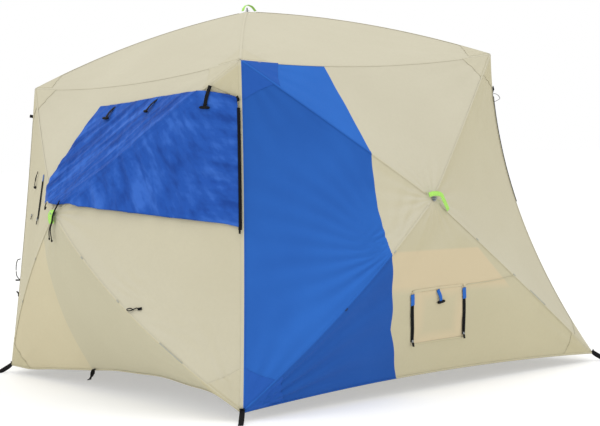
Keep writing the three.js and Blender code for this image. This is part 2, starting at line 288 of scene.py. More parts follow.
M = {"cream": cloth_material("cream_oxford", CREAM, CREAM_TINT)[0]}
OVERLAID_CLOTHS = {
    "front_cloth": ("front_wall_oxford", add_blue_panel, (1.0,)),
    "back_cloth": ("back_wall_oxford", add_blue_panel, (-1.0,)),
    "vent_cloth": ("vent_flap_cloth", add_vent_through_light, ()),
    "left_hem_cloth": ("left_foot_oxford", add_foot_through_light, ()),
}
for _key, (_name, _overlay, _extra) in OVERLAID_CLOTHS.items():
    M[_key], *_rest = cloth_material(_name, CREAM, CREAM_TINT)
    _overlay(*_rest, *_extra)
PLAIN_CLOTHS = {
    "blue": ("blue_oxford", BLUE, BLUE_TINT, 0.7),
    "blue_patch": ("blue_patch_cloth", (0.019, 0.100, 0.425), (0.017, 0.092, 0.400), 0.75),
    "binding": ("hem_binding", (0.42, 0.41, 0.36), (0.38, 0.37, 0.32), 0.85),
    # The next two colours paint the shadows of parts inside, seen through the cloth.
    "tack": ("tack_cloth", (0.40, 0.40, 0.34), (0.36, 0.37, 0.32), 0.8),
    "tack_dark": ("dark_tack_cloth", (0.020, 0.045, 0.13), (0.018, 0.040, 0.12), 0.8),
}
for _key, _cloth in PLAIN_CLOTHS.items():
    M[_key], *_ = cloth_material(*_cloth, paint_facing_down=False)
M["cream_patch"], *_ = cloth_material("cream_patch_cloth", (0.546, 0.510, 0.382), (0.528, 0.492, 0.366), 0.85)
M["green"] = webbing_material("green_webbing", (0.50, 0.95, 0.18), 0.6)
M["black"] = webbing_material("black_webbing", (0.0045, 0.0045, 0.0055))
M["zip"] = webbing_material("black_zip_tape", (0.0035, 0.0035, 0.0045), 0.7)
M["cord"] = webbing_material("black_cord", (0.0045, 0.0045, 0.0050), 0.75)
M["rod"] = hard_material("glass_fibre_rod", (0.018, 0.018, 0.020), 0.32)
M["ferrule"] = hard_material("brushed_ferrule", (0.55, 0.56, 0.58), 0.3, 1.0)
M["hub"] = hard_material("moulded_hub", (0.022, 0.023, 0.026), 0.5)
M["eye"] = hard_material("grey_eye_bolt", (0.30, 0.32, 0.34), 0.38, 0.7)
M["bar"] = hard_material("black_toggle_bar", (0.004, 0.004, 0.005), 0.6, specular=0.15)


# ---------- The stance, read from the frame ----------
def side_names(face):
    return ROOF_SIDES if face == "roof" else SIDES


def pole_names(face):
    return ROOF_POLES if face == "roof" else POLES


def read_face(face):
    hinges = [JOINTS[f"{face}_gore_{side}_fold"] for side in side_names(face)]
    corners = [Vector(hinge["pos_m"]) for hinge in hinges]
    normal = Vector(JOINTS[f"{face}_hub_pop"]["axis"]).normalized()
    pin = JOINTS[f"{face}_pole_{pole_names(face)[0]}_pin"]
    spoke = normal.cross(Vector(pin["axis"])).normalized()
    hub = Vector(pin["pos_m"]) + normal * PIN_DEPTH - spoke * PIN_RADIUS
    return corners, normal, hub


def corner_pull(corners, low, high, name):
    middle = (corners[low] + corners[high]) / 2
    inward = Vector((-middle.x, -middle.y, 0)).normalized()
    return inward * CORNER_PULL[name]


def read_bends(face, corners):
    sag = Vector((0, 0, -EAVE_SAG))
    if face == "roof":
        return [sag] * 4
    left, right = WALLS[face]
    arch = Vector((0, 0, HEM_ARCH[face]))
    return [arch, corner_pull(corners, 1, 2, right), sag, corner_pull(corners, 3, 0, left)]


# How far the left wall's hem hangs below its even arch, from the far corner to the near one.
HEM_DROOP = (0.0, 0.035, 0.040, 0.039, 0.031, 0.013, 0.002, -0.016, -0.019, -0.031, 0.0)

HEM_CURL = 0.013


def blend_four(a, b, c, d, w):
    """Catmull-Rom between b and c."""
    return 0.5 * ((2 * b) + (c - a) * w + (2 * a - 5 * b + 4 * c - d) * w**2 + (3 * b - a - 3 * c + d) * w**3)


def even_curve(values, x):
    """A smooth reading, at x from 0 to 1, of values at even steps."""
    ends = (2 * values[0] - values[1], *values, 2 * values[-1] - values[-2])
    place = min(max(x, 0.0), 1.0) * (len(values) - 1)
    i = min(int(place), len(values) - 2)
    return blend_four(*ends[i : i + 4], place - i)


class Gore:
    """One triangle of cloth from an outer edge (P to Q) to the hub H; s runs along the edge, t to the hub."""

    def __init__(self, face, index):
        corners, normal, hub = FACES[face]
        following = (index + 1) % 4
        self.name = f"{face}_gore_{side_names(face)[index]}"
        self.body = f"{self.name}_body"
        self.p, self.q, self.h = corners[index], corners[following], hub
        self.bend = read_bends(face, corners)[index]
        self.bow_p = normal * BOW[face][index]
        self.bow_q = normal * BOW[face][following]
        flat = (self.q - self.p).cross(self.h - self.p)
        self.area = flat.length / 2
        self.width = (self.q - self.p).length
        self.height = flat.length / self.width
        self.seed = sum(ord(c) for c in self.name) % 37
        self.fans = []
        self.inward = -normal

    def point(self, s, t):
        edge = self.p.lerp(self.q, s).lerp(self.h, t)
        edge += self.bend * (4 * s * (1 - s) * (1 - t))
        if self.name == "left_gore_hem":
            curl = HEM_CURL * math.exp(-(((s - 0.72) / 0.20) ** 4)) * max(0.0, 1 - t / 0.045)
            edge += self.inward * curl - UP * (even_curve(HEM_DROOP, s) * (1 - t) ** 2)
        return edge + self.bow_p.lerp(self.bow_q, s) * (4 * t * (1 - t))

    def normal(self, s, t):
        step = 1e-3
        t = min(t, 0.985)
        across = self.point(s + step, t) - self.point(s - step, t)
        along = self.point(s, t + step) - self.point(s, t - step)
        return across.cross(along).normalized()

    def at(self, s, t, lift=0.0):
        return self.point(s, t) + self.normal(s, t) * lift

    def skin(self, s, t, lift=0.0):
        """A point on the rippled cloth's outer side, lifted."""
        s, t = min(max(s, 0.0), 1.0), min(max(t, 0.0), 0.995)
        point = self.point(s, t)
        return point + self.normal(s, t) * (CLOTH + ripple(self, s, t, point) + lift)

    def locate(self, x, z):
        """The (s, t) of a point at (x, z) on the wall, measured from the foot under the hub."""
        foot, level, _ = wall_frame(self.name.split("_")[0])
        s, t = 0.5, 0.4
        for _ in range(40):
            point = self.point(s, t) - foot
            t += 0.7 * (z - point.z) * (1 if "eave" not in self.name else -1) / self.height
            s += 0.7 * (x - point.dot(level)) / (self.width * (1 - t))
        return s, t


FACES = {name: read_face(name) for name in (*WALLS, "roof")}
GORES = {}
for _face in FACES:
    for _index in range(4):
        _gore = Gore(_face, _index)
        GORES[_gore.name] = _gore


def fold_noise(tree, y, z, along, scales, shift):
    """Noise drawn out along one direction of a side wall, given as (level, up)."""
    def turned(a, b):
        return math_node(tree, "ADD", math_node(tree, "MULTIPLY", y, a), math_node(tree, "MULTIPLY", z, b))

    vector = tree.nodes.new("ShaderNodeCombineXYZ")
    tree.links.new(turned(-along[1], along[0]), vector.inputs[0])
    tree.links.new(turned(along[0] * scales[1] / scales[0], along[1] * scales[1] / scales[0]), vector.inputs[1])
    vector.inputs[2].default_value = shift
    return noise_node(tree, vector.outputs[0], scales[0], 3)


# Across the left wall's upper right crease: shares of the level and upward distance from the hub.
CREASE = (0.629, 0.777)


def make_cover_material():
    """Slack nylon with painted light and shade: painted paler along the ridges of its folds, painted darker between
    them.
    """
    light, dark = (0.042, 0.150, 0.560), (0.005, 0.044, 0.255)
    material, tree, shader, base = cloth_material(
        "window_cover_nylon", COVER_BLUE, (0.016, 0.093, 0.425), 0.62, threads=320, crumple=0.6, paint_facing_down=False)
    _, y, z = axes_of(tree)
    hub = FACES["left"][2]
    x = math_node(tree, "SUBTRACT", hub.y, y)
    z = math_node(tree, "SUBTRACT", z, hub.z)
    along, up = (math_node(tree, "MULTIPLY", *pair) for pair in ((x, CREASE[0]), (z, CREASE[1])))
    across = math_node(tree, "SUBTRACT", along, up)
    upper = fold_noise(tree, x, z, (0.80, 0.60), (22.0, 3.2), 1.0)
    lower = fold_noise(tree, x, z, (0.42, -0.91), (12.0, 3.4), 4.0)
    side = fold_noise(tree, x, z, (0.96, -0.28), (13.0, 3.6), 7.0)
    low = mix_colour(tree, ramp(tree, x, 0.66, 0.92), lower, side)
    fold = mix_colour(tree, ramp(tree, across, -0.02, 0.10), upper, low)
    fine = fold_noise(tree, x, z, (0.62, -0.78), (34.0, 11.0), 9.0)
    fold = math_node(tree, "ADD", math_node(tree, "MULTIPLY", fold, 0.72), math_node(tree, "MULTIPLY", fine, 0.28))
    # Painted shade in the hollows of the folds, then painted light on their ridges.
    shade = mix_colour(tree, ramp(tree, fold, 0.495, 0.39, 0.0, 0.75), base, dark)
    shade = mix_colour(tree, ramp(tree, fold, 0.515, 0.62, 0.0, 0.75), shade, light)
    paint(tree, shader, shade)
    return material


M["cover"] = make_cover_material()


# ---------- Mesh helpers ----------
def place_object(name, data):
    piece = bpy.data.objects.new(name, data)
    bpy.context.scene.collection.objects.link(piece)
    return piece


def level_way(vector):
    """The level direction that is nearest to a vector's own."""
    return Vector((vector.x, vector.y, 0)).normalized()


def add_object(name, verts, faces, material, smooth=True):
    mesh = bpy.data.meshes.new(name)
    mesh.from_pydata([tuple(v) for v in verts], [], faces)
    mesh.validate()
    mesh.materials.append(material)
    for polygon in mesh.polygons:
        polygon.use_smooth = smooth
    return place_object(name, mesh)


def grid_faces(columns, rows, flip=False):
    faces = []
    for j in range(rows):
        for i in range(columns):
            a = j * (columns + 1) + i
            quad = (a, a + 1, a + columns + 2, a + columns + 1)
            faces.append(quad[::-1] if flip else quad)
    return faces


def thicken(piece, thickness, offset=-1.0):
    modifier = piece.modifiers.new("thickness", "SOLIDIFY")
    modifier.thickness = thickness
    modifier.offset = offset


def direction(points, k):
    """The way a line of points runs at its point k, not yet of length one."""
    return points[min(k + 1, len(points) - 1)] - points[max(k - 1, 0)]


def skin_faces(rings, sides):
    """Faces of a closed tube of rings, with a flat face at each end."""
    faces = []
    for k in range(rings - 1):
        for i in range(sides):
            a, b = k * sides + i, k * sides + (i + 1) % sides
            faces.append((a, b, b + sides, a + sides))
    last = (rings - 1) * sides
    faces.append(tuple(range(sides))[::-1])
    faces.append(tuple(last + i for i in range(sides)))
    return faces


def ribbon(name, points, normals, width, thickness, material):
    """A flat band along points, with a soft rounded section; normals are its upper side."""
    profile = [(-0.5, -0.5), (-0.5, 0.2), (-0.42, 0.5), (0.42, 0.5), (0.5, 0.2), (0.5, -0.5)]
    verts = []
    for k, point in enumerate(points):
        along = direction(points, k).normalized()
        side = normals[k].cross(along).normalized()
        upper = along.cross(side).normalized()
        verts += [point + side * (a * width) + upper * (b * thickness) for a, b in profile]
    return add_object(name, verts, skin_faces(len(points), len(profile)), material)


def tube(name, points, radius, material, sides=10):
    verts = []
    for k, point in enumerate(points):
        turn = direction(points, k).to_track_quat("Z", "Y")
        r = radius(k) if callable(radius) else radius
        for i in range(sides):
            angle = 2 * math.pi * i / sides
            verts.append(point + turn @ Vector((r * math.cos(angle), r * math.sin(angle), 0)))
    return add_object(name, verts, skin_faces(len(points), sides), material)


def smooth_path(points, count):
    """Catmull-Rom through the points, resampled to count + 1 points."""
    spots = [points[0] * 2 - points[1], *points, points[-1] * 2 - points[-2]]
    line = []
    spans = len(points) - 1
    for k in range(count + 1):
        u = k / count * spans
        i = min(int(u), spans - 1)
        w = u - i
        a, b, c, d = spots[i : i + 4]
        line.append(blend_four(a, b, c, d, w))
    return line


def apply_all(piece):
    bpy.ops.object.select_all(action="DESELECT")
    piece.select_set(True)
    bpy.context.view_layer.objects.active = piece
    for modifier in list(piece.modifiers):
        bpy.ops.object.modifier_apply(modifier=modifier.name)


def join(name, parts):
    """Joins several new pieces into one piece."""
    for part in parts:
        apply_all(part)
    for part in parts:
        part.select_set(True)
    bpy.context.view_layer.objects.active = parts[0]
    if len(parts) > 1:
        bpy.ops.object.join()
    parts[0].name = name
    return parts[0]


def stand_in(piece, body, node):
    """The piece rides on a body and takes the place of a CAD node."""
    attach(piece, body)
    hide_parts(node)


# ---------- The cloth gores ----------
def extra_fans(gore):
    """Extra tension folds: the point that they fan out from, their reach, how many, how high."""
    kink = GORES["front_gore_left"].point(0.985, 0.728)
    fans = {
        "front_gore_hem": [(gore.p, 1.20, 11, 0.0120)],
        "front_gore_left": [(kink, 0.36, 12, 0.0062), (gore.q, 0.30, 9, 0.0050)],
        "left_gore_hem": [(gore.q, 0.60, 12, 0.0055), (gore.p, 0.25, 10, 0.0040)],
        "left_gore_right": [(gore.p, 0.28, 14, 0.0045), (gore.p.lerp(gore.h, 0.478), 0.20, 10, 0.0035)],
        "back_gore_hem": [(gore.q, 0.60, 12, 0.0050)],
        "right_gore_hem": [(gore.p, 0.60, 12, 0.0050)],
    }
    return fans.get(gore.name, [])


def fan_height(gore, point, anchor, reach, folds, height):
    away = point - anchor
    radius = away.length
    if radius > 4 * reach:
        return 0.0
    level = (gore.q - gore.p).normalized()
    angle = math.atan2(away.cross(level).length, away.dot(level))
    fold = math.sin(folds * 2.6 * angle + 3 * noise.noise(point * 1.7 + Vector((gore.seed, 2, 1))))
    return height * fold * math.exp(-radius / reach) * min(1, radius / 0.14)


# The flat stretch of cloth around the vent: its middle as (level, height), and how far it reaches.
CALM_MIDDLE = (0.035, 0.405)
CALM_REACH = 0.30


def calm(gore, point):
    """1 over most of the cloth, less around the vent, which its zips keep flat."""
    if gore.name != "front_gore_hem":
        return 1.0
    _, level, _ = wall_frame("front")
    away = Vector(((point - FACES["front"][2]).dot(level) - CALM_MIDDLE[0], 0, point.z - CALM_MIDDLE[1]))
    return 1 - 0.85 * math.exp(-((away.length / CALM_REACH) ** 4))


# Soft waves of the cloth (height, waves per metre), every gore's own folds (reach, how many, how high), and the
# puckers along its seams (height, turns per metre, how far they reach).
BROAD_WAVE = (0.0035, 2.1)
SMALL_WAVE = (0.0016, 6.5)
CORNER_FAN = (0.42, 9, 0.003)
HUB_FAN = (0.22, 7, 0.003)
PUCKER = (0.0009, 55, 0.03)


def ripple(gore, s, t, point):
    """Height of the cloth off its smooth surface: tension folds from the corners, seam puckers, soft waves."""
    height = BROAD_WAVE[0] * noise.noise(point * BROAD_WAVE[1] + Vector((gore.seed, 0, 0)))
    height += SMALL_WAVE[0] * noise.noise(point * SMALL_WAVE[1] + Vector((0, gore.seed, 0)))
    fans = [(gore.p, *CORNER_FAN), (gore.q, *CORNER_FAN), (gore.h, *HUB_FAN), *gore.fans]
    height += sum(fan_height(gore, point, *fan) for fan in fans)
    from_edge = t * gore.height
    edge = min(from_edge, s * (1 - t) * gore.width * 0.8, (1 - s) * (1 - t) * gore.width * 0.8)
    run = s * gore.width * PUCKER[1] if edge == from_edge else from_edge * PUCKER[1]
    height += PUCKER[0] * math.sin(run) * math.exp(-edge / PUCKER[2]) * min(1, edge / 0.012)
    return height * min(1, edge / 0.05) * calm(gore, point)


def spread_steps(count):
    """Steps from 0 to 1 that crowd towards both ends."""
    steps = [0.5 - 0.5 * math.cos(math.pi * (0.16 + 0.68 * k / count)) for k in range(count + 1)]
    return [(x - steps[0]) / (steps[-1] - steps[0]) for x in steps]


def gore_mesh(gore, material, columns=64, rows=56):
    last = 1 - 0.006 / gore.height
    verts = []
    for t in spread_steps(rows):
        for s in spread_steps(columns):
            point = gore.point(s, t * last)
            lift = CLOTH / 2 + ripple(gore, s, t * last, point)
            verts.append(point + gore.normal(s, t * last) * lift)
    return add_object(f"{gore.name}_cloth", verts, grid_faces(columns, rows), material)


def cloth_of(face):
    return M.get(f"{face}_cloth", M["cream"])


def make_gore(gore):
    cloth = M["left_hem_cloth"] if gore.name == "left_gore_hem" else cloth_of(gore.name.split("_")[0])
    piece = gore_mesh(gore, cloth)
    thicken(piece, CLOTH)
    stand_in(piece, gore.body, gore.name)


# Openings cut through a hem gore: outlines of (level, height), measured from the point under the hub.
VENT = {"low": 0.262, "high": 0.545, "foot": (-0.110, 0.263), "head": (-0.166, 0.220), "gap": 0.0012}
DOOR = {"centre": 0.020, "springing": 0.420, "half": 0.380, "gap": 0.004}


def vent_outline(grow):
    low, high = VENT["low"] - grow, VENT["high"] + grow
    (foot_left, foot_right), (head_left, head_right) = VENT["foot"], VENT["head"]
    return [(foot_left - grow, low), (foot_right + grow, low), (head_right + grow, high), (head_left - grow, high)]


def door_outline(grow):
    side = DOOR["half"] + grow
    outline = [(DOOR["centre"] - side, -0.05), (DOOR["centre"] + side, -0.05)]
    for i in range(25):
        angle = math.pi * i / 24
        rise = (side - 0.060) * math.sin(angle)
        outline.append((DOOR["centre"] + side * math.cos(angle), DOOR["springing"] + rise))
    return outline


def wall_frame(face):
    _, normal, hub = FACES[face]
    out = level_way(normal)
    return Vector((hub.x, hub.y, 0)), UP.cross(out), out


def cutter(face, outline, reach=0.26):
    foot, level, out = wall_frame(face)
    verts = [foot + level * x + UP * z + out * side for side in (-reach, reach) for x, z in outline]
    n = len(outline)
    faces = [tuple(range(n))[::-1], tuple(range(n, 2 * n))]
    faces += [(i, (i + 1) % n, n + (i + 1) % n, n + i) for i in range(n)]
    return add_object("cutter", verts, faces, M["cream"], smooth=False)


def carve(piece, face, outline, operation):
    tool = cutter(face, outline)
    modifier = piece.modifiers.new("carve", "BOOLEAN")
    modifier.object = tool
    modifier.operation = operation
    modifier.solver = "EXACT"
    apply_all(piece)
    bpy.data.objects.remove(tool)


def outline_size(outline):
    width = max(x for x, _ in outline) - min(x for x, _ in outline)
    height = max(z for _, z in outline) - min(max(z, 0.10) for _, z in outline)
    return width, height


def make_cut_gore(gore, face, outline_of, flap_name, flap_cloth):
    """The gore with its opening, and the flap that fills it, cut from the same rippled cloth."""
    flat = outline_size(outline_of(0))
    gap = (VENT if face == "front" else DOOR)["gap"]
    whole = gore_mesh(gore, cloth_of(face), 96, 88)
    thicken(whole, CLOTH)
    flap = gore_mesh(gore, flap_cloth, 96, 88)
    flap.name = f"{flap_name}_cloth"
    thicken(flap, CLOTH)
    carve(whole, face, outline_of(gap), "DIFFERENCE")
    carve(flap, face, outline_of(-gap), "INTERSECT")
    stand_in(whole, gore.body, gore.name)
    stand_in(flap, f"{flap_name}_body", flap_name)


CUT_GORES = {
    "front_gore_hem": ("front", vent_outline, "vent_flap"),
    "back_gore_hem": ("back", door_outline, "door_flap"),
}


def make_cloth():
    for gore in GORES.values():
        gore.fans = extra_fans(gore)
    for gore in GORES.values():
        if gore.name not in CUT_GORES:
            make_gore(gore)
            continue
        face, outline_of, flap = CUT_GORES[gore.name]
        flap_cloth = M["vent_cloth"] if flap == "vent_flap" else M["back_cloth"]
        make_cut_gore(gore, face, outline_of, flap, flap_cloth)


# ---------- Seams, hems, piping and stake loops ----------
CREASE_TAPE = 0.0085
EDGE_TAPE = 0.010


def fold_strip(name, line, half, cloths, body):
    """A tape folded over an edge that two cloths share.

    line(w, away, side, lift) gives its points: w runs along the edge, away across it, on the side -1 or 1.
    """
    half_spots = ((1.0, 0.0001), (0.96, 0.0003), (0.80, 0.0006), (0.40, 0.0007))
    spots = [(-1, *spot) for spot in half_spots] + [(1, *spot) for spot in half_spots[::-1]]
    rows = 48
    verts = []
    for k in range(rows + 1):
        for side, share, lift in spots:
            verts.append(line(k / rows, half * share, side, lift))
    strip = add_object(name, verts, grid_faces(len(spots) - 1, rows, flip=True), cloths[0])
    strip.data.materials.append(cloths[1])
    for index, polygon in enumerate(strip.data.polygons):
        polygon.material_index = 0 if index % (len(spots) - 1) < 3.5 else 1
    thicken(strip, 0.0005)
    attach(strip, body)
    return strip


def make_crease_seam(face, index):
    """The seam over one pole, on the crease between two gores; it rides on the pole."""
    names = side_names(face)
    after = GORES[f"{face}_gore_{names[index]}"]
    before = GORES[f"{face}_gore_{names[index - 1]}"]

    def line(w, away, side, lift):
        t = 0.004 + 0.955 * w
        gore = after if side > 0 else before
        share = away / (gore.width * (1 - t))
        return gore.skin(share if side > 0 else 1 - share, t, lift)

    cloths = [cloth_of(face)] * 2
    pole = pole_names(face)[index]
    fold_strip(f"{face}_seam_{pole}", line, CREASE_TAPE, cloths, f"{face}_pole_{pole}_body")
    make_clip_shadows(face, index, before, after)


# Painted shadows seen through the cloth on a lower crease: of clips on the pole, and of a pole's ferrule, as shares
# of the way to the hub.
CLIP_SHADOWS = {"lower_left": (0.455, 0.728), "lower_right": (0.530, 0.755)}
FERRULE_SHADOW = {"left": 0.275}


# A painted shadow: a thin grey band on the crease that stands for a part inside, seen through the cloth.
def seen_through_shadow(name, before, after, t, half, width, material):
    points = [after.skin(0.003, t + half * w, 0.0020) for w in (-1, -0.5, 0, 0.5, 1)]
    normal = (after.normal(0.01, t) + before.normal(0.99, t)).normalized()
    return ribbon(name, points, [normal] * 5, width, 0.0010, material)


def make_clip_shadows(face, index, before, after):
    pole = pole_names(face)[index]
    if pole not in CLIP_SHADOWS:
        return
    on_blue = (face, pole) in (("front", "lower_left"), ("back", "lower_right"))
    low = M["tack_dark"] if on_blue else M["tack"]
    parts = [seen_through_shadow(f"tack_{t}", before, after, t, 0.006, 0.008, cloth)
             for t, cloth in zip(CLIP_SHADOWS[pole], (low, M["tack"]))]
    if pole == "lower_right":
        where = FERRULE_SHADOW.get(face, 0.380)
        # Painted shadow of the pole's ferrule, seen through the cloth.
        parts.append(seen_through_shadow("ferrule_mark", before, after, where, 0.049, 0.007, M["tack"]))
    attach(join(f"{face}_tacks_{pole}", parts), f"{face}_pole_{pole}_body")


def make_hem(face):
    """The dark binding folded round the cloth's edge along the foot of a wall."""
    gore = GORES[f"{face}_gore_hem"]
    spots = [k / 96 for k in range(97)]
    outer = [gore.skin(s, 0.0045, 0.0008) for s in spots]
    normals = [gore.normal(s, 0.003) for s in spots]
    band = ribbon(f"{face}_hem_band", outer, normals, 0.0085, 0.0016, cloth_of(face))
    edge = [gore.at(s, 0.0, CLOTH * 0.25) - UP * 0.0006 for s in spots]
    roll = tube(f"{face}_hem_roll", edge, 0.0022, M["binding"], 8)
    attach(join(f"{face}_hem_binding", [band, roll]), gore.body)


def make_eave_seam(face):
    wall, roof_side = GORES[f"{face}_gore_eave"], GORES[f"roof_gore_{face}"]

    def line(w, away, side, lift):
        gore, s = (wall, w) if side > 0 else (roof_side, 1 - w)
        return gore.skin(s, away / gore.height, lift)

    fold_strip(f"{face}_eave_seam", line, EDGE_TAPE, [M["cream"], M["cream"]], "shelter_base")


LOOP_OUT = 0.0825
LOOP_WIDTH = 0.025
# How far each stake loop's webbing is twisted on its way down, in degrees.
LOOP_TWIST = {"front_left": 12, "front_right": 68, "back_right": 25, "back_left": -62}


def wall_before(name):
    """The wall that has this corner on its right, seen from outside."""
    return next(wall for wall, (_, right) in WALLS.items() if right == name)


def make_corner_seam(name):
    """The corner seam from hem to eave, with the cloth of a wall on each side."""
    near, far = wall_before(name), next(wall for wall, (left, _) in WALLS.items() if left == name)
    here, there = GORES[f"{near}_gore_right"], GORES[f"{far}_gore_left"]

    def line(w, away, side, lift):
        gore, s = (there, 1 - w) if side > 0 else (here, w)
        return gore.skin(s, away / gore.height, lift)

    return fold_strip(f"{name}_corner_seam", line, EDGE_TAPE, [cloth_of(near), cloth_of(far)], "shelter_base")


def webbing_loop(name, line, side, twist, material, width=LOOP_WIDTH):
    """Doubled webbing along a line, twisted in its middle and folded at its end."""
    layers = ([], [])
    ups = []
    last = len(line) - 1
    for k, point in enumerate(line):
        ahead = direction(line, k).normalized()
        above = ahead.cross(side).normalized()
        if above.z < 0:
            above = -above
        w = k / last
        turn = Matrix.Rotation(math.radians(twist) * math.sin(math.pi * min(w * 1.05, 1.0)) ** 0.7, 3, ahead)
        above = turn @ above
        swell = 0.0013 + 0.0030 * math.sin(math.pi * w) ** 2
        layers[0].append(point + above * swell)
        layers[1].append(point - above * swell)
        ups.append(above)
    top = ribbon(f"{name}_top", layers[0], ups, width, WEBBING, material)
    low = ribbon(f"{name}_low", layers[1], ups, width, WEBBING, material)
    tip = (layers[0][-1] + layers[1][-1]) / 2
    across = (line[-1] - line[-2]).normalized().cross(ups[-1]).normalized() * (width / 2)
    fold = tube(f"{name}_fold", [tip - across, tip, tip + across], 0.0027, material, 10)
    return [top, low, fold]


def make_corner(name):
    seam = make_corner_seam(name)
    foot = GORES[f"{wall_before(name)}_gore_right"].point(0.0, 0.0)
    out = level_way(foot)
    start = foot + out * 0.004
    line = smooth_path(
        [
            start + UP * 0.022,
            start + UP * 0.002 + out * 0.004,
            start + out * (LOOP_OUT * 0.50) - UP * (foot.z * 0.50),
            start + out * (LOOP_OUT * 0.85) - UP * (foot.z * 0.80),
            start + out * (LOOP_OUT + 0.010) - UP * (foot.z - 0.0045),
        ],
        22,
    )
    side = UP.cross(out).normalized()
    piece = join(f"stake_loop_{name}", webbing_loop(name, line, side, LOOP_TWIST[name], M["black"]))
    stand_in(piece, "shelter_base", f"corner_tape_{name}")


def make_mid_loop(face, where, width=0.026):
    """A short webbing loop that hangs from the middle of a hem."""
    gore = GORES[f"{face}_gore_hem"]
    root = gore.skin(where, 0.006, 0.001)
    out = level_way(gore.normal(where, 0.01))
    level = UP.cross(out)
    line = smooth_path(
        [root + UP * 0.004, root + out * 0.008 - UP * 0.006, root + out * 0.030 - UP * 0.026 + level * 0.010,
         root + out * 0.052 - UP * 0.046 + level * 0.022], 12)
    parts = webbing_loop(f"{face}_mid", line, level, 72, M["black"], width)
    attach(join(f"{face}_hem_loop", parts), gore.body)


def corner_patch(gore, end, reach, cloth):
    """Half of a reinforcement patch: a triangle of cloth sewn over the gore at one end of its outer edge."""
    crease = (gore.h - (gore.p if end == "p" else gore.q)).length
    shares = [0.1 * k for k in range(10)] + [0.985, 1.0]
    steps = len(shares) - 1
    verts, faces, rows = [], [], []
    for i, f in enumerate(shares):
        rows.append(len(verts))
        for j in range(i + 1):
            g = j / i if i else 0
            t = 0.004 + f * g * reach / crease
            away = 0.003 + f * (1 - g) * reach / gore.width
            verts.append(gore.skin(away if end == "p" else 1 - away, t, 0.0004))
    for i in range(steps):
        for j in range(i + 1):
            a, b = rows[i] + j, rows[i + 1] + j
            faces.append((a, b, b + 1))
            if j < i:
                faces.append((a, b + 1, a + 1))
    if end == "q":
        faces = [face[::-1] for face in faces]
    patch = add_object(f"{gore.name}_patch_{end}", verts, faces, cloth)
    thicken(patch, 0.0005, 1.0)
    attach(patch, gore.body)


PATCH_REACH = {"roof": 0.17, "hem": 0.235, "eave": 0.235, "left": 0.20, "right": 0.20}


def make_patches():
    for gore in GORES.values():
        side = gore.name.split("_")[-1]
        for end in ("p", "q"):
            corner = gore.p if end == "p" else gore.q
            blue = (corner.x < -0.7 and corner.y < -0.7 and gore.name.startswith("front")) or (
                corner.x > 0.7 and corner.y > 0.7 and gore.name.startswith("back"))
            reach = PATCH_REACH["roof" if gore.name.startswith("roof") else side]
            corner_patch(gore, end, reach, M["blue_patch"] if blue else M["cream_patch"])


# ---------- Zips, toggles, tabs and cords ----------
def on_gore(gore, spots, lift, count, flat=False):
    """Points and normals over the cloth along a smooth path of (s, t) spots; flat ignores its ripples."""
    path = smooth_path([Vector((s, t, 0)) for s, t in spots], count)
    place = gore.at if flat else gore.skin
    return [place(p.x, p.y, lift) for p in path], [gore.normal(p.x, p.y) for p in path]


def zip_strip(name, gore, spots, width=0.020, lift=0.004, count=24):
    """A zip: two tapes with a row of coil teeth between them."""
    lift += CLOTH
    points, normals = on_gore(gore, spots, lift, count, flat=True)
    tape = ribbon(f"{name}_tape", points, normals, width, 0.0016, M["zip"])
    fine, _ = on_gore(gore, spots, lift + 0.0014, count * 6, flat=True)
    teeth = tube(f"{name}_teeth", fine, lambda k: 0.0022 if k % 2 else 0.0014, M["bar"], 6)
    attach(join(name, [tape, teeth]), gore.body)


def zip_pull(name, gore, s, t, down, size=0.016):
    """A slider with a short pull that hangs down."""
    place, normal = gore.skin(s, t, 0.006), gore.normal(s, t)
    side = normal.cross(down).normalized()
    ends = [place - down * size / 2, place + down * size / 2]
    body = ribbon(f"{name}_body", ends, [normal] * 2, 0.011, 0.005, M["eye"])
    line = [place + down * (size * 0.4 + k * 0.005) + normal * (0.002 + 0.001 * k) for k in range(5)]
    pull = ribbon(f"{name}_pull", line, [normal] * 5, 0.013, 0.0030, M["cord"])
    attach(join(name, [body, pull]), gore.body)


def toggle(name, gore, start, end, strap_material, width=0.014, bar_length=0.052, lift=0.012, rise=0.0):
    """A short strap that ends in a bar; it holds a rolled cover."""
    points, normals = on_gore(gore, [start, ((start[0] + end[0]) / 2, (start[1] + end[1]) / 2), end], lift, 10)
    points = [p + n * (rise * k / 10) for k, (p, n) in enumerate(zip(points, normals))]
    arched = [p + n * (0.006 * math.sin(math.pi * k / 10)) for k, (p, n) in enumerate(zip(points, normals))]
    strap = ribbon(f"{name}_strap", arched, normals, width, 0.0018, strap_material)
    along = (points[-1] - points[-2]).normalized()
    side = (normals[-1].cross(along) + UP.cross(normals[-1]) * 2.5).normalized()
    steps = 12
    spine = [points[-1] + along * 0.004 + side * (bar_length * (k / steps - 0.5)) for k in range(steps + 1)]
    bar = tube(f"{name}_bar", spine, lambda k: 0.0075 * (1 - abs(2 * k / steps - 1) ** 6 * 0.75), M["bar"], 12)
    ends = [arched[0] - along * 0.010, arched[0] + along * 0.006]
    sewn = ribbon(f"{name}_sewn", ends, [normals[0]] * 2, width, 0.0030, strap_material)
    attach(join(name, [strap, bar, sewn]), gore.body)


# ---------- The window cover on a side wall ----------
def table(points, x):
    """Straight-line reading of a short list of (x, y) points."""
    for (x0, y0), (x1, y1) in zip(points, points[1:]):
        if x <= x1:
            return y0 + (y1 - y0) * max(x - x0, 0) / (x1 - x0)
    return points[-1][1]


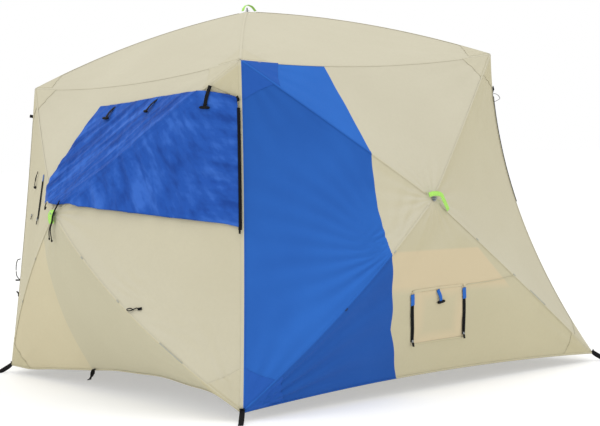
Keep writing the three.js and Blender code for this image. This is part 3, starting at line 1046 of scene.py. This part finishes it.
# The cover's outline: on the eave gore (s, t), on the near gore (t, s), and its tip on the far gore (t, s).
COVER_TOP = ((0.0, 0.199), (0.261, 0.172), (0.572, 0.182), (0.626, 0.402), (0.698, 0.559), (0.778, 0.669),
             (0.958, 0.796), (1.0, 0.820))
COVER_SEAT = ((0.0, 0.938), (0.288, 0.944), (1.0, 0.932))
COVER_FOOT = ((0.0, 0.510), (0.076, 0.519), (0.185, 0.523), (0.350, 0.532), (0.531, 0.550), (0.703, 0.585),
              (0.831, 0.661), (0.870, 0.740), (0.905, 0.850), (0.938, 0.965))
COVER_HEAD = ((0.0, 0.888), (0.061, 0.924), (0.125, 0.958), (0.199, 1.0), (1.0, 1.0))
COVER_TIP = ((0.820, 0.0), (0.812, 0.300), (0.934, 0.0))


# How far the cover stands off the cloth, and its share of the folds: on the left wall, then on the right wall.
COVER_LIFT = (0.0125, 0.0062)
COVER_SLACK = (1.0, 0.20)


def ridge(x, y, seed):
    return 1 - 2 * abs(noise.noise(Vector((x, y, seed))))


def ease(x, low, high):
    w = min(max((x - low) / (high - low), 0), 1)
    return w * w * (3 - 2 * w)


def crumple(point, face, flip):
    """Slack nylon: folds along the diagonal above the crease, hanging folds below it, puckers beside the zip."""
    foot, level, _ = wall_frame(face)
    x = (point - foot).dot(level) * (-1 if flip else 1)
    z = point.z - FACES[face][2].z
    below = ease(CREASE[0] * x - CREASE[1] * z, -0.03, 0.11)
    bend = 0.35 * noise.noise(Vector((x * 2.2, z * 2.2, 5)))
    upper = 0.0066 * ridge((0.60 * x - 0.80 * z + 0.06 * bend) * 16, (0.80 * x + 0.60 * z) * 2.6, 3)
    upper += 0.0026 * ridge((0.60 * x - 0.80 * z) * 38, (0.80 * x + 0.60 * z) * 6, 9)
    lower = 0.0115 * ridge((0.90 * x + 0.44 * z + 0.08 * bend) * 10.5, (0.44 * x - 0.90 * z) * 2.4, 11)
    lower += 0.0045 * ridge((0.90 * x + 0.44 * z) * 25, (0.44 * x - 0.90 * z) * 5.5, 14)
    beside = ease(x, 0.62, 0.98) * (1 - ease(z, 0.45, 0.62))
    puckers = 0.0085 * ridge(x * 2.6, (z + 0.16 * x) * 15, 21)
    fine = 0.0018 * ridge(x * 30, z * 26, 25) + 0.0009 * ridge(x * 60, z * 64, 28)
    return upper * (1 - below) + (lower * (1 - beside) + puckers * beside) * below + fine


def shared_normal(gore, s, t):
    """The gore's normal, turned towards its neighbour's beside the crease, so that both covers meet there."""
    face, side = gore.name.split("_gore_")
    place = SIDES.index(side)
    low, high = (GORES[f"{face}_gore_{SIDES[(place + k) % 4]}"] for k in (-1, 1))
    own = gore.normal(s, t)
    reach = 0.09 / (gore.width * max(1 - t, 0.05))
    if s < 0.5:
        other, near = low.normal(0.99, t), max(1 - s / reach, 0)
    else:
        other, near = high.normal(0.01, t), max(1 - (1 - s) / reach, 0)
    return (own + other * near).normalized()


def cover_patch(name, gore, spot, columns, rows, lift, flip):
    face = gore.name.split("_")[0]
    verts = []
    slack = COVER_SLACK[flip]
    for j in range(rows + 1):
        for i in range(columns + 1):
            s, t = spot(i / columns, j / rows)
            point = gore.point(s, t)
            rim = min(i, j, columns - i, rows - j) == 0 and min(s, 1 - s) > 1e-4
            height = lift + slack * crumple(point, face, flip) * (0.45 if rim else 1.0)
            verts.append(point + shared_normal(gore, s, t) * max(height, 0.0042))
    piece = add_object(name, verts, grid_faces(columns, rows), M["cover"])
    thicken(piece, 0.0012, 0.0)
    return piece


def patch_area(piece):
    return sum(polygon.area for polygon in piece.data.polygons)


def declare_patch(piece):
    area = patch_area(piece)


def make_cover(face, node_names, flip):
    """flip mirrors the cover on the opposite wall, where the near corner is the left one."""
    def mirror(s):
        return 1 - s if flip else s

    eave = GORES[f"{face}_gore_eave"]
    near = GORES[f"{face}_gore_{'left' if flip else 'right'}"]
    far = GORES[f"{face}_gore_{'right' if flip else 'left'}"]
    corner = COVER_TOP[2][0]
    lift = COVER_LIFT[flip]

    def eave_spot(u, v):
        s = corner * u / 0.62 if u < 0.62 else corner + (1 - corner) * (u - 0.62) / 0.38
        top, seat = table(COVER_TOP, s), table(COVER_SEAT, s)
        return mirror(s), top + (seat - top) * v

    def near_spot(u, v):
        t = 0.012 + (0.938 - 0.012) * v
        foot, head = table(COVER_FOOT, t), table(COVER_HEAD, t)
        return mirror(foot + (head - foot) * u), t

    def far_spot(u, v):
        t = COVER_TIP[0][0] + (COVER_TIP[-1][0] - COVER_TIP[0][0]) * v
        reach = table([(t0, s0) for t0, s0 in COVER_TIP], t)
        return mirror(reach * u), t

    upper = cover_patch(f"{face}_cover_upper", eave, eave_spot, 110, 90, lift, flip)
    side = cover_patch(f"{face}_cover_side", near, near_spot, 80, 140, lift, flip)
    tip = cover_patch(f"{face}_cover_tip", far, far_spot, 12, 14, lift, flip)
    for piece, gore, node in ((upper, eave, node_names[0]), (side, near, node_names[1]), (tip, far, None)):
        if flip:
            piece.data.flip_normals()
        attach(piece, gore.body)
        declare_patch(piece)
        if node:
            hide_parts(node)
        node or "window_cover_side"
    dress_cover(face, eave, near, far, mirror)


def dress_cover(face, eave, near, far, mirror):
    """The cover's zip, toggles and edge tape."""
    def spots(*pairs):
        return [(mirror(s), t) for s, t in pairs]

    zip_strip(f"{face}_window_zip", near, spots((0.509, 0.0065), (0.68, 0.0065), (0.862, 0.0065)), 0.017,
              0.004 if face == "right" else 0.016)
    lift, rise = (0.010, 0.004) if face == "right" else (0.016, 0.015)
    toggles = (
        (eave, (0.468, 0.200), (0.467, 0.300), 0.019, 0.060),
        (eave, (0.222, 0.196), (0.194, 0.298), 0.016, 0.034),
        (near, (0.984, 0.144), (0.925, 0.162), 0.019, 0.060),
    )
    for k, (gore, start, end, width, bar_length) in enumerate(toggles, 1):
        toggle(f"{face}_toggle_{k}", gore, *spots(start, end), M["black"], width, bar_length, lift, rise)
    loop = spots((0.889, 0.032), (0.890, 0.018), (0.890, 0.004))
    strap_between(f"{face}_cover_loop", near, loop, 0.026, M["black"], lift)
    line = [(s, table(COVER_TOP, s)) for s in (0.70, 0.778, 0.87, 0.958, 1.0)]
    points, normals = on_gore(eave, spots(*line), 0.009, 24)
    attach(ribbon(f"{face}_cover_edge", points, normals, 0.007, 0.004, M["zip"]), eave.body)


def hanging_cord(name, path, radius, body):
    """A limp pull cord: a curve from the cover's edge, ending in a knot."""
    data = bpy.data.curves.new(name, "CURVE")
    data.dimensions = "3D"
    data.bevel_depth = radius
    data.bevel_resolution = 3
    spline = data.splines.new("POLY")
    spline.points.add(len(path) - 1)
    for spot, point in zip(spline.points, path):
        spot.co = (*point, 1)
    data.materials.append(M["cord"])
    piece = place_object(name, data)
    end = path[-1]
    along = (path[-1] - path[-2]).normalized()
    knot = tube(f"{name}_knot", [end + along * (0.0016 * (k - 4)) for k in range(9)],
                lambda k: radius * (1 + 0.9 * math.sin(math.pi * k / 8)), M["cord"], 12)
    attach(piece, body)
    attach(knot, body)
    length = sum((b - a).length for a, b in zip(path, path[1:]))
    tuple(path[0])


def beside_hub(face, aside, rise, out):
    """A point beside a wall's hub: to the right, up, and outwards."""
    _, normal, hub = FACES[face]
    return hub + UP.cross(normal).normalized() * aside + UP * rise + level_way(normal) * out


def make_cover_cords():
    """The two ends of the cord that ties the rolled cover, and the hook that it goes round, beside the left hub."""
    upper = GORES["left_gore_eave"]
    start = upper.at(0.330, 0.920, 0.022)
    for k, (aside, drop) in enumerate(((-0.041, -0.132), (-0.016, -0.142))):
        points = [start + UP.cross(upper.normal(0.5, 0.9)) * (0.006 * k)]
        for x, z in ((0.034, 0.004), (0.014, -0.040)):
            points.append(beside_hub("left", x + 0.006 * k, z, 0.026))
        points += [beside_hub("left", 0.5 * (aside - 0.002), -0.085, 0.022), beside_hub("left", aside, drop, 0.012)]
        hanging_cord(f"cover_tie_{k + 1}", smooth_path(points, 26), 0.0028, upper.body)
    spots = ((-0.054, 0.060, 0.012), (-0.054, 0.038, 0.022), (-0.050, 0.024, 0.026), (-0.042, 0.028, 0.026),
             (-0.041, 0.038, 0.022))
    hook = smooth_path([beside_hub("left", *spot) for spot in spots], 18)
    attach(tube("cover_hook", hook, 0.0030, M["cord"], 8), upper.body)


# ---------- The vents ----------
def make_vent_dress():
    """Zips up both sides of the front vent, their tabs and pulls, and the toggle that holds the rolled flap."""
    gore = GORES["front_gore_hem"]
    low, high = VENT["low"], VENT["high"]
    for side, name in ((0, "left"), (1, "right")):
        foot_x, head_x = VENT["foot"][side], VENT["head"][side]

        def on_side(z):
            return gore.locate(foot_x + (head_x - foot_x) * (z - low) / (high - low), z)

        zip_strip(f"vent_zip_{name}", gore, [on_side(low + 0.018), on_side(0.36), on_side(0.480)], 0.022, 0.0030)
        points, normals = on_gore(gore, [on_side(0.474), on_side(0.500), on_side(high - 0.013)], 0.0050, 8)
        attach(ribbon(f"vent_tab_{name}", points, normals, 0.025, WEBBING, M["blue"]), gore.body)
        zip_pull(f"vent_pull_{name}", gore, *on_side(low + 0.022), -UP, 0.014)
    toggle("vent_toggle", gore, gore.locate(0.030, 0.530), gore.locate(0.056, 0.476), M["blue"], 0.020, 0.056, 0.005)
    foot, head = ([gore.locate(x, z) for x in ends] for ends, z in (
        (VENT["foot"], low), ((VENT["head"][0] + 0.008, VENT["head"][1] - 0.008), high)))
    points, normals = on_gore(gore, foot, 0.0006, 16)
    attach(ribbon("vent_foot_tape", points, normals, 0.010, 0.0016, M["cream_patch"]), gore.body)
    start, crease = gore.locate(VENT["head"][1] + 0.025, high), (0.994, 0.530)
    middle = (start[0] * 0.5 + crease[0] * 0.5, start[1] * 0.5 + crease[1] * 0.5 - 0.006)
    strap_between("band_seam", gore, [start, middle, crease], 0.0045, M["cream_patch"], 0.0006)
    points, normals = on_gore(gore, head, 0.0003, 16)
    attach(ribbon("vent_head_tape", points, normals, 0.014, 0.0008, M["front_cloth"]), gore.body)


def make_door_dress():
    """The door's zip runs up one side, over the top and down the other."""
    gore = GORES["back_gore_hem"]
    outline = [spot for spot in door_outline(0.0) if spot[1] > 0.12]
    outline = [(outline[0][0], 0.14), *outline, (outline[-1][0], 0.14)]
    zip_strip("door_zip", gore, [gore.locate(x, z) for x, z in outline], 0.024, 0.0022, 60)
    for k, x in enumerate((DOOR["centre"] - DOOR["half"], DOOR["centre"] + DOOR["half"])):
        zip_pull(f"door_pull_{k + 1}", gore, *gore.locate(x, 0.150), -UP)


# ---------- Small fittings on the left wall ----------
def strap_between(name, gore, spots, width, material, lift=0.003, count=10):
    points, normals = on_gore(gore, spots, lift, count)
    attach(ribbon(name, points, normals, width, WEBBING, material), gore.body)


def cord_loop(name, gore, spots, lifts, radius=0.0022):
    """A small sewn loop of cord that stands off the cloth."""
    path = smooth_path([gore.at(s, t, lift) for (s, t), lift in zip(spots, lifts)], 24)
    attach(tube(name, path, radius, M["cord"], 8), gore.body)


def make_small_window(face, side, name):
    """A narrow side window: a vertical zip with a tab above it, a hanging loop and a pull beside it."""
    gore = GORES[f"{face}_gore_{side}"]

    def mirror(s):
        return 1 - s if side == "right" else s

    spots = [(mirror(0.150), 0.640), (mirror(0.300), 0.636), (mirror(0.500), 0.633)]
    zip_strip(f"{name}_zip", gore, spots, 0.030, 0.003)
    tab = [(mirror(0.085), 0.643), (mirror(0.115), 0.642), (mirror(0.160), 0.640)]
    strap_between(f"{name}_tab", gore, tab, 0.016, M["blue"])
    zip_pull(f"{name}_pull", gore, mirror(0.505), 0.633, -UP, 0.020)
    toggle(f"{name}_toggle", gore, (mirror(0.190), 0.470), (mirror(0.290), 0.425), M["cord"], 0.007, 0.026, 0.006)
    loop = [(mirror(0.225), 0.412), (mirror(0.280), 0.405), (mirror(0.290), 0.420)]
    cord_loop(f"{name}_loop", gore, loop, (0.004, 0.008, 0.005))
    zip_pull(f"{name}_pull_low", gore, mirror(0.460), 0.425, -UP, 0.014)


def make_guy_tab(face, where):
    """A flat loop of cord, its lead and a small tab beside the lower crease, for a guy line."""
    gore = GORES[f"{face}_gore_right"]

    def beside(run, rise):
        return 0.004 + 0.95 * run + 1.1 * rise, where - 0.83 * run

    spots = [beside(run, rise) for run, rise in (
        (0.032, 0.004), (0.016, 0.012), (0.000, 0.008), (0.003, 0.001), (0.018, 0.000), (0.034, 0.006),
        (0.048, 0.009), (0.060, 0.004))]
    cord_loop(f"{face}_guy_loop", gore, spots, (0.004, 0.010, 0.014, 0.014, 0.012, 0.008, 0.008, 0.006), 0.0026)
    strap_between(f"{face}_guy_tab", gore, [beside(0.054, 0.003), beside(0.064, 0.003), beside(0.076, 0.003)], 0.014,
                  M["black"], 0.005)


def corner_spot(name, height, out, rise=0.0):
    """A point off a wall corner, at a share of its height."""
    root = GORES[f"{wall_before(name)}_gore_right"].point(height, 0.0)
    return root + level_way(root) * out + UP * rise


def make_corner_guy(name, height, spots, width):
    """A black webbing loop high on a corner, for a guy line; spots are (out, rise)."""
    line = smooth_path([corner_spot(name, height, out, rise) for out, rise in spots], 16)
    side = UP.cross(corner_spot(name, height, 1.0) - corner_spot(name, height, 0.0)).normalized()
    normals = [side.cross(b - a).normalized() for a, b in zip(line, line[1:] + [line[-1] * 2 - line[-2]])]
    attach(ribbon(f"{name}_guy_loop", line, normals, width, WEBBING, M["black"]), "shelter_base")


def make_corner_cord(name):
    """A loop of cord with a small bar on the far corner, and the webbing tab below it."""
    spots = ((0.002, 0.070), (0.022, 0.062), (0.032, 0.020), (0.030, -0.030), (0.012, -0.052), (0.002, -0.054))
    path = smooth_path([corner_spot(name, 0.345, out, rise) for out, rise in spots], 24)
    loop = tube("loop", path, 0.0026, M["cord"], 8)
    bar = tube("bar", [corner_spot(name, 0.345, 0.004 + 0.0068 * k, -0.056) for k in range(6)], 0.0048, M["bar"], 10)
    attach(join(f"{name}_cord_loop", [loop, bar]), "shelter_base")
    far = GORES["left_gore_left"].at(0.752, 0.026, 0.006)
    low = smooth_path([corner_spot(name, 0.270, 0.018), corner_spot(name, 0.262, 0.004), far], 8)
    make_corner_tab(f"{name}_low_tab", low, 0.016)
    high = [corner_spot(name, 0.900, 0.001 + 0.0042 * k, 0.001 * k) for k in range(6)]
    make_corner_tab(f"{name}_high_tab", high, 0.018)


def make_corner_tab(name, line, width):
    """A short doubled tab of webbing that stands off a corner on its edge."""
    side = UP.cross(line[-1] - line[0]).normalized()
    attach(ribbon(name, line, [side] * len(line), width, 0.0050, M["black"]), "shelter_base")


# Each pull strap's width, then its points as (level, up, outwards) from the hub.
PULL_STRAPS = {
    "roof": (0.025, (-0.030, 0.004, 0.002), (-0.020, 0.003, 0.022), (0.002, 0.0, 0.036), (0.034, -0.003, 0.026),
             (0.056, -0.006, 0.000)),
    "left": (0.050, (-0.004, 0.020, 0.004), (-0.003, 0.003, 0.014), (-0.002, -0.015, 0.016), (-0.001, -0.034, 0.014),
             (0.000, -0.052, 0.008)),
    "front": (0.024, (-0.034, 0.022, 0.004), (-0.006, 0.026, 0.014), (0.036, 0.018, 0.018), (0.054, -0.008, 0.014),
              (0.098, -0.062, -0.008)),
}


def make_pull_strap(face):
    """A green webbing pull strap over the hub's bolt."""
    _, normal, hub = FACES[face]
    level = Vector((1, 0, 0)) if face == "roof" else UP.cross(normal).normalized()
    level = (level - normal * level.dot(normal)).normalized()
    rise = normal.cross(level)
    width, *shape = PULL_STRAPS.get(face, PULL_STRAPS["front"])
    points = smooth_path([hub + level * x + rise * y + normal * (z + 0.004) for x, y, z in shape], 26)
    strap = ribbon(f"{face}_strap_webbing", points, [normal] * len(points), width, WEBBING, M["green"])
    stand_in(strap, f"{face}_hub_body", f"{face}_pull_strap")


# ---------- Poles ----------
def make_pole(face, index):
    """A glass-fibre rod with a metal ferrule at its middle, thicker at its hub end and at its corner end."""
    name = f"{face}_pole_{pole_names(face)[index]}"
    corners, normal, hub = FACES[face]
    corner = corners[index]
    pin = Vector(JOINTS[f"{name}_pin"]["pos_m"])
    spoke = normal.cross(Vector(JOINTS[f"{name}_pin"]["axis"])).normalized()
    start = pin - spoke * 0.006
    end = corner.lerp(hub, POLE_SHORT / (corner - hub).length) - normal * 0.014
    steps = 96

    def at(w):
        return start.lerp(end, w) + normal * (BOW[face][index] * 4 * w * (1 - w))

    def radius(k):
        w = k / steps
        if w < 0.035:
            return 0.0068
        if abs(w - 0.5) < 0.035:
            return 0.0072
        return 0.0066 if w > 0.972 else 0.0055

    rod = tube(f"{name}_rod", [at(k / steps) for k in range(steps + 1)], radius, M["rod"], 14)
    ferrule = tube(f"{name}_ferrule", [at(0.462 + 0.0076 * k) for k in range(11)], 0.0076, M["ferrule"], 14)
    piece = join(f"{name}_piece", [rod, ferrule])
    stand_in(piece, f"{name}_body", name)


def dress_hub(face):
    node = frame["nodes"][f"{face}_hub"]
    for slot in node.material_slots:
        slot.material = M["eye"]
    for pole in pole_names(face):
        name = f"{face}_pole_{pole}_pin"
        pin, axis = Vector(JOINTS[name]["pos_m"]), Vector(JOINTS[name]["axis"]).normalized()
        line = [pin + axis * (0.0115 * w) for w in (-1, -0.5, 0, 0.5, 1)]
        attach(tube(f"{name}_rivet", line, 0.0018, M["ferrule"], 10), f"{face}_hub_body")


def dress_sliders():
    """The door's slider keeps its CAD shape; the window's gets a body with a bridge and a short pull."""
    for slot in frame["nodes"]["door_zip_slider"].material_slots:
        slot.material = M["bar"]
    gore = GORES["left_gore_right"]
    place, normal = gore.at(0.508, 0.0070, 0.021), gore.normal(0.508, 0.007)
    side = normal.cross(UP).normalized()
    up = side.cross(normal)
    spine = [place + up * rise for rise in (-0.009, -0.004, 0.004, 0.009)]
    body = ribbon("body", spine, [normal] * 4, 0.018, 0.006, M["bar"])
    arch = smooth_path([place + up * 0.007, place + normal * 0.007, place - up * 0.007], 10)
    bridge = tube("bridge", arch, 0.0022, M["bar"], 8)
    spots = [place + normal * out - up * drop for out, drop in ((0.006, 0), (0.008, 0.014), (0.004, 0.028))]
    pull = ribbon("pull", smooth_path(spots, 10), [normal] * 11, 0.010, 0.0026, M["cord"])
    piece = join("window_zip_runner", [body, bridge, pull])
    stand_in(piece, "window_zip_slider_body", "window_zip_slider")


# ---------- Camera, lights and floor ----------
CAMERA_PLACE = Vector((-5.55, -6.95, 1.355))
HEADING, PITCH, ROLL = (math.radians(x) for x in (50.1, -2.9, -2.05))
LENS = 91.26


def make_camera():
    ahead = Vector((math.cos(HEADING) * math.cos(PITCH), math.sin(HEADING) * math.cos(PITCH), math.sin(PITCH)))
    right = Vector((math.sin(HEADING), -math.cos(HEADING), 0))
    above = right.cross(ahead)
    tilted_right = right * math.cos(ROLL) + above * math.sin(ROLL)
    tilted_above = above * math.cos(ROLL) - right * math.sin(ROLL)
    data = bpy.data.cameras.new("camera")
    data.lens = LENS
    data.sensor_width = 36
    camera = place_object("camera", data)
    turn = Matrix((tilted_right, tilted_above, -ahead)).transposed().to_4x4()
    camera.matrix_world = Matrix.Translation(CAMERA_PLACE) @ turn
    bpy.context.scene.camera = camera


def area_light(name, place, target, size, power, colour=(1, 1, 1)):
    data = bpy.data.lights.new(name, "AREA")
    data.size = size
    data.energy = power
    data.color = colour
    light = place_object(name, data)
    light.location = place
    light.rotation_euler = (Vector(target) - Vector(place)).to_track_quat("-Z", "Y").to_euler()


def floor_material():
    """A pale floor that is lit a little from below, so that it fades into the pale background."""
    material, tree, shader = nodes_of("pale_floor", (0.62, 0.62, 0.61), 0.9)
    speck = noise_node(tree, coordinates(tree), 4, 3)
    paint(tree, shader, mix_colour(tree, speck, (0.61, 0.61, 0.60), (0.63, 0.63, 0.62)))
    shader.inputs["Emission Color"].default_value = (1, 1, 1, 1)
    shader.inputs["Emission Strength"].default_value = 0.42
    return material


def make_studio():
    world = bpy.data.worlds.new("studio")
    bpy.context.scene.world = world
    world.use_nodes = True
    background = world.node_tree.nodes["Background"]
    background.inputs["Color"].default_value = (1.0, 1.0, 1.0, 1)
    background.inputs["Strength"].default_value = 1.0
    area_light("key", (-1.6, -2.4, 9.2), (0, 0, 0.9), 6.5, 190)
    area_light("fill", (-6.5, 2.0, 2.0), (0, 0, 0.9), 4.0, 20)
    square = [(x, y, -0.0005) for x, y in ((-60, -60), (60, -60), (60, 60), (-60, 60))]
    floor = add_object("floor", square, [(0, 1, 2, 3)], floor_material(), smooth=False)


make_camera()
make_studio()
make_cloth()
make_patches()
for _wall in WALLS:
    make_hem(_wall)
    make_eave_seam(_wall)
for _face, _where in (("left", 0.42), ("right", 0.60), ("back", 0.30)):
    make_mid_loop(_face, _where)
for _corner in CORNER_PULL:
    make_corner(_corner)
for _face in FACES:
    for _index in range(4):
        make_crease_seam(_face, _index)
        make_pole(_face, _index)
    make_pull_strap(_face)
    dress_hub(_face)
make_cover("left", ("window_cover_eave", "window_cover_side"), False)
make_cover("right", (None, None), True)
make_cover_cords()
make_small_window("left", "left", "left_side_window")
make_small_window("right", "right", "right_side_window")
make_guy_tab("left", 0.478)
make_guy_tab("right", 0.478)
GUY_LOOP = ((0.003, 0.018), (0.026, 0.010), (0.040, -0.012), (0.018, -0.026), (0.003, -0.030))
make_corner_guy("front_right", 0.86, GUY_LOOP, 0.020)
make_corner_cord("back_left")
make_vent_dress()
make_door_dress()
dress_sliders()
bpy.context.scene.view_settings.view_transform = "Standard"
